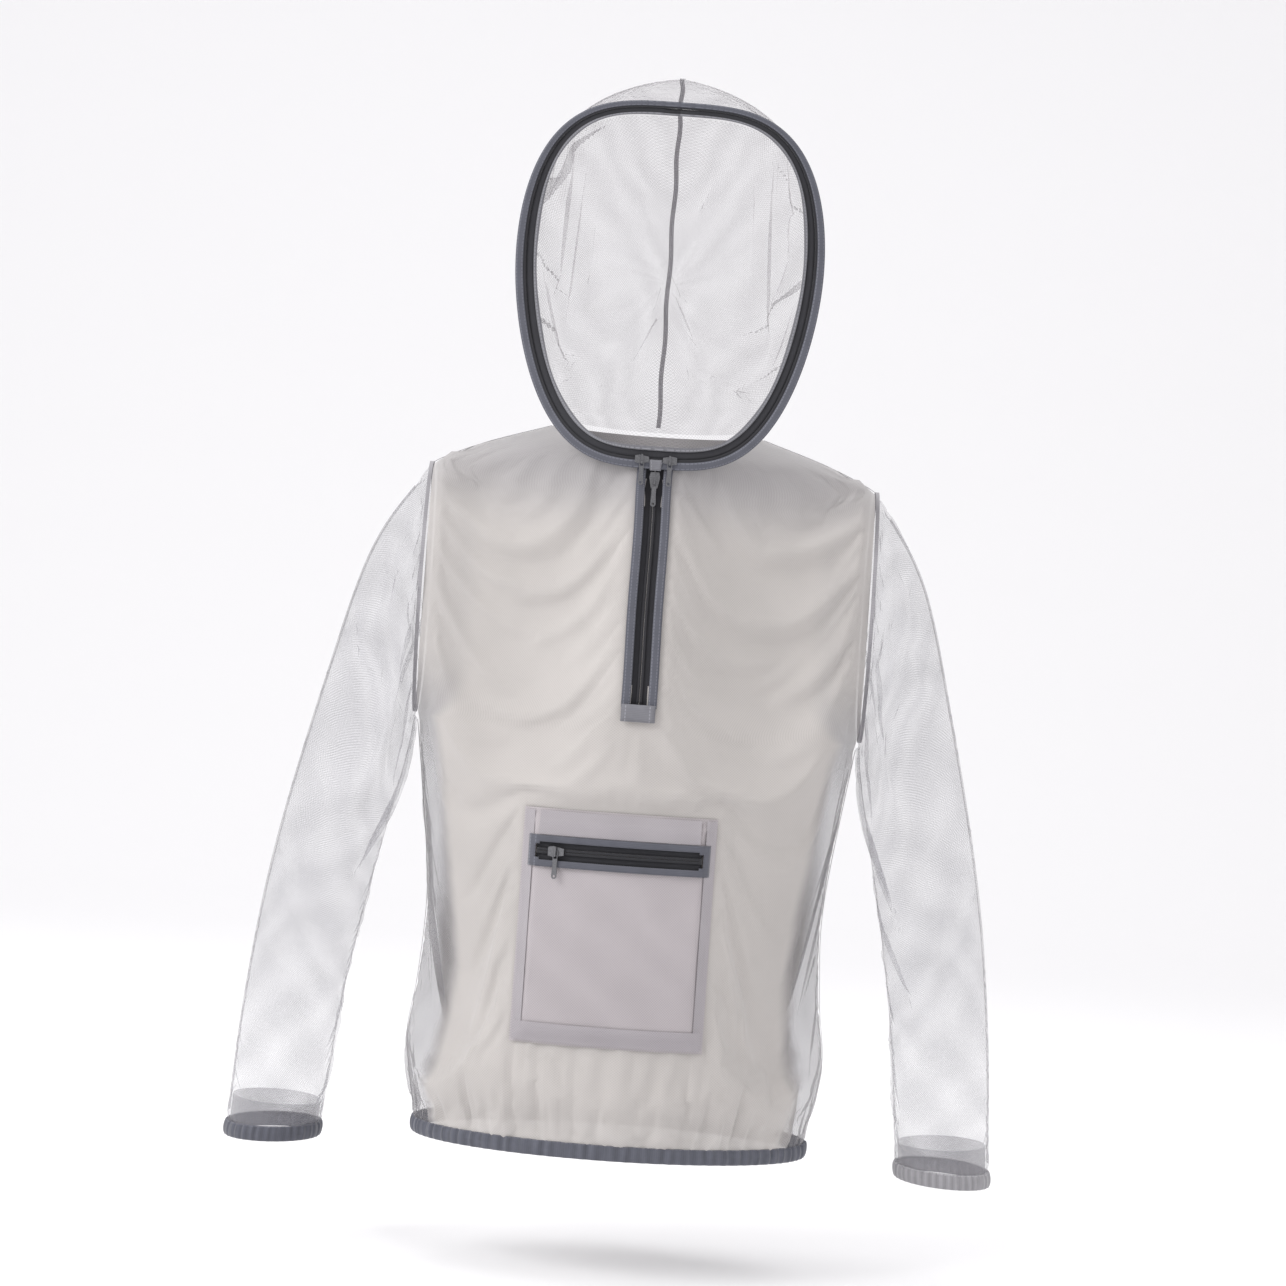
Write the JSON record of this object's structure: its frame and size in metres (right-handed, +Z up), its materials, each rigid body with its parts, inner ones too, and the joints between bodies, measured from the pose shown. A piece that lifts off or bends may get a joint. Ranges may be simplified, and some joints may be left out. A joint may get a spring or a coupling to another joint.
{
  "type": "beekeeping jacket",
  "caption": "Light mesh beekeeping jacket with a zipped face veil in its hood, a half front zip, a patch pocket and gathered cuffs and hem.",
  "frame": {"origin": "middle of the neck on the shoulder line", "axes": "X across the shoulders, -Y the front of the jacket, +Z up"},
  "size_m": [0.7364, 0.2629, 1.0356],
  "materials": {
    "body_mesh": "fine knitted mesh, see-through",
    "sleeve_mesh": "fine knitted mesh, see-through",
    "pocket_mesh": "double layer of fine mesh",
    "slate_binding": "woven binding, stitched",
    "grey_binding": "woven binding, stitched",
    "zip_black": "woven zip tape and nylon coil",
    "elastic": "woven elastic",
    "slider_metal": "dark pewter"
  },
  "bodies": {
    "jacket": {"front_body_panel": "body_mesh", "back_body_panel": "body_mesh", "left_side_seam": "slate_binding", "right_side_seam": "slate_binding", "left_shoulder_seam": "grey_binding", "right_shoulder_seam": "grey_binding", "hem_casing": "slate_binding", "hem_elastic": "elastic", "left_sleeve": "sleeve_mesh", "right_sleeve": "sleeve_mesh", "left_cuff_casing": "slate_binding", "right_cuff_casing": "slate_binding", "left_cuff_elastic": "elastic", "right_cuff_elastic": "elastic", "left_armhole_seam": "slate_binding", "right_armhole_seam": "slate_binding", "left_underarm_seam": "slate_binding", "right_underarm_seam": "slate_binding", "front_zip_left_tape": "zip_black", "front_zip_right_tape": "zip_black", "front_zip_left_coil": "zip_black", "front_zip_right_coil": "zip_black", "front_left_binding": "slate_binding", "front_right_binding": "slate_binding", "front_zip_end_tab": "grey_binding", "ring_inner_binding": "grey_binding", "ring_zip_inner_tape": "zip_black", "ring_zip_outer_tape": "zip_black", "ring_zip_coil": "zip_black", "ring_outer_binding": "slate_binding", "face_veil": "sleeve_mesh", "hood_left_panel": "sleeve_mesh", "hood_right_panel": "sleeve_mesh", "hood_centre_seam": "grey_binding", "chin_tab": "grey_binding", "pocket_panel": "pocket_mesh", "pocket_top_hem": "pocket_mesh", "pocket_bottom_hem": "pocket_mesh", "pocket_zip_binding": "slate_binding", "pocket_zip_upper_tape": "zip_black", "pocket_zip_lower_tape": "zip_black", "pocket_zip_upper_coil": "zip_black", "pocket_zip_lower_coil": "zip_black"},
    "front_slider": {"front_zip_slider": "slider_metal"},
    "front_pull": {"front_zip_pull": "slider_metal"},
    "pocket_slider": {"pocket_zip_slider": "slider_metal"},
    "pocket_pull": {"pocket_zip_pull": "slider_metal"},
    "veil_left_slider": {"veil_left_slider": "slider_metal"},
    "veil_left_pull": {"veil_left_pull": "slider_metal"},
    "veil_right_slider": {"veil_right_slider": "slider_metal"},
    "veil_right_pull": {"veil_right_pull": "slider_metal"}
  },
  "joints": [
    {"name": "front_slider_run", "type": "slide", "parent": "jacket", "child": "front_slider", "axis": [0, -0.1063, -0.9943], "range_m": [0, 0.184]},
    {"name": "front_pull_swing", "type": "hinge", "parent": "front_slider", "child": "front_pull", "pos_m": [0, -0.09955, -0.05275], "axis": [-1, 0, 0], "range_deg": [0, 85]},
    {"name": "pocket_slider_run", "type": "hinge", "parent": "jacket", "child": "pocket_slider", "pos_m": [0, 0.174, -0.401], "axis": [0, 0, 1], "range_deg": [0, 23.2]},
    {"name": "pocket_pull_swing", "type": "hinge", "parent": "pocket_slider", "child": "pocket_pull", "pos_m": [-0.06663, -0.12363, -0.401], "axis": [-0.9755, 0.22, 0], "range_deg": [0, 110]},
    {"name": "veil_left_slider_run", "type": "slide", "parent": "jacket", "child": "veil_left_slider", "axis": [1, 0, 0], "range_m": [0, 0.03]},
    {"name": "veil_left_pull_swing", "type": "hinge", "parent": "veil_left_slider", "child": "veil_left_pull", "pos_m": [0.013, -0.10165, -0.034], "axis": [-1, 0, 0], "range_deg": [0, 110]},
    {"name": "veil_right_slider_run", "type": "slide", "parent": "jacket", "child": "veil_right_slider", "axis": [-1, 0, 0], "range_m": [0, 0.03]},
    {"name": "veil_right_pull_swing", "type": "hinge", "parent": "veil_right_slider", "child": "veil_right_pull", "pos_m": [-0.013, -0.10165, -0.034], "axis": [-1, 0, 0], "range_deg": [0, 110]}
  ]
}
